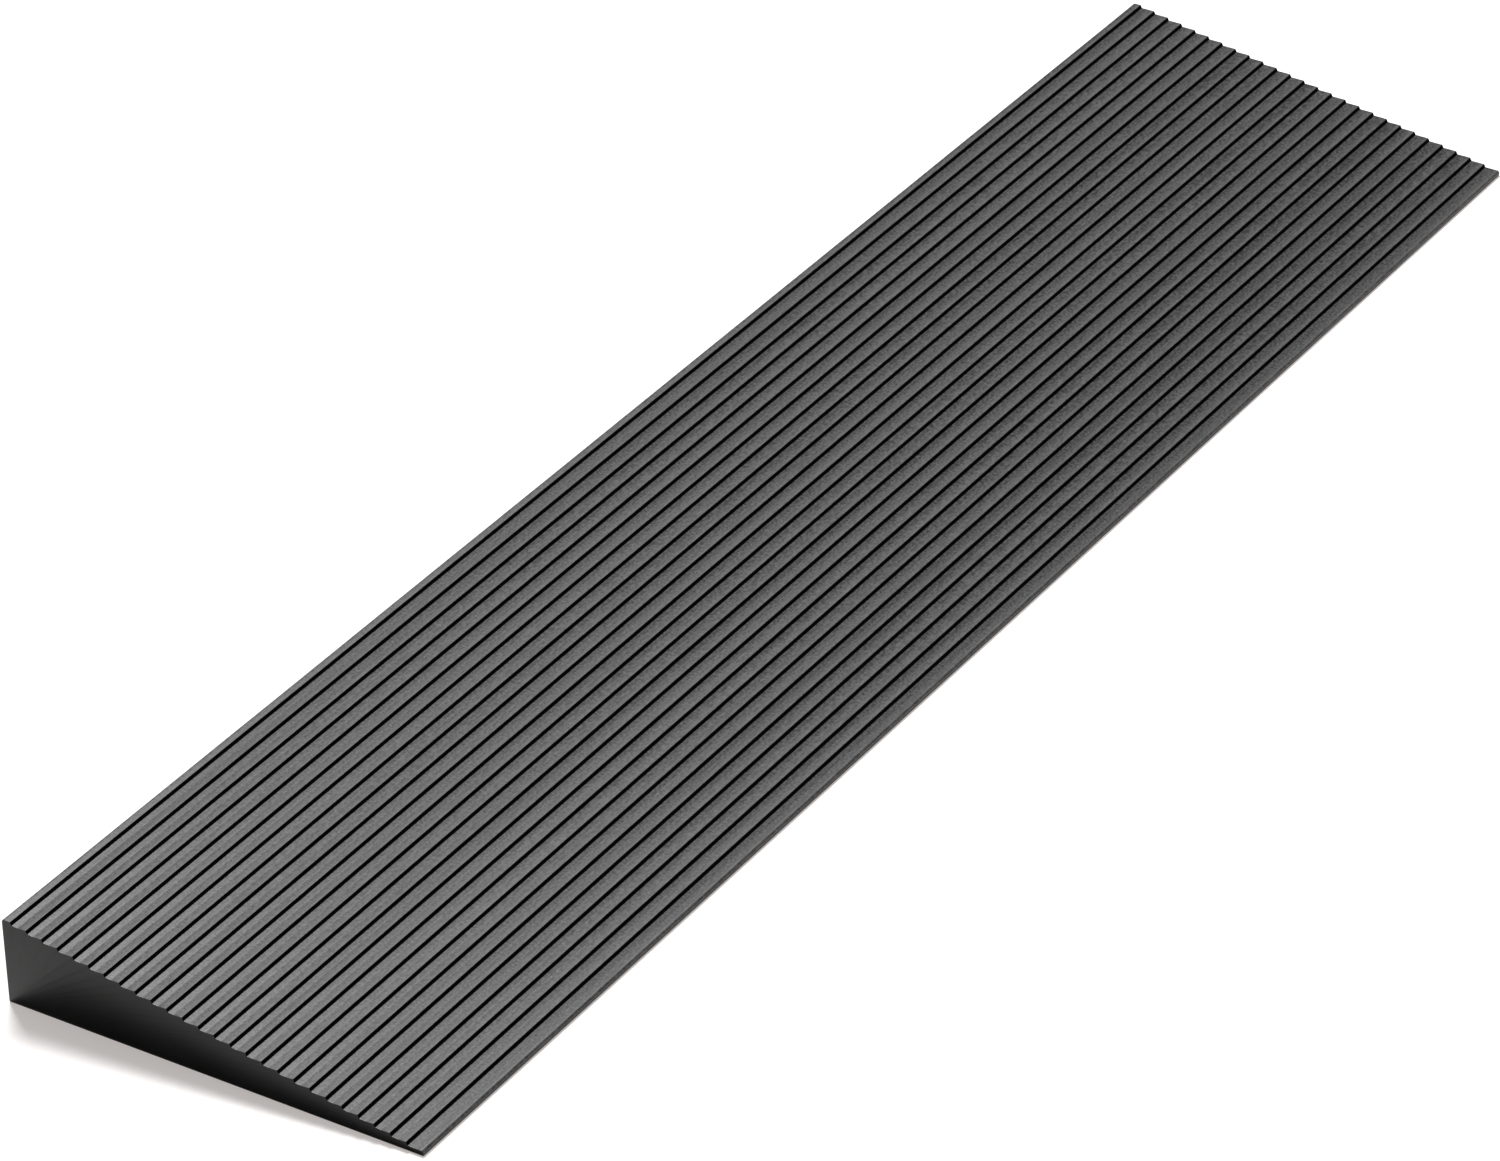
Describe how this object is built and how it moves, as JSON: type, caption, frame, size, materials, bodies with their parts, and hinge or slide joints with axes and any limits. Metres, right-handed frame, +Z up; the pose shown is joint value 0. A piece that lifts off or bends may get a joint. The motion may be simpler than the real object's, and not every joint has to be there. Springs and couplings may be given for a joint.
{
  "type": "portable wheelchair ramp",
  "caption": "Low solid rubber threshold wedge with a stepped, ribbed top, a thin nose, a tall flat back face and grip strips let into its underside.",
  "frame": {"origin": "on the floor, at the middle of the ramp's rectangular footprint", "axes": "+X along the wide side, across the doorway; +Y up the slope, from the nose to the high back face; +Z up"},
  "size_m": [0.9, 0.201, 0.04],
  "materials": {
    "wedge_rubber": "matte moulded black rubber with a fine grain",
    "grip_rubber": "soft matte dark grey rubber"
  },
  "bodies": {
    "root": {"ramp_wedge": "wedge_rubber", "grip_strip_front": "grip_rubber", "grip_strip_middle": "grip_rubber", "grip_strip_rear": "grip_rubber"}
  },
  "joints": []
}
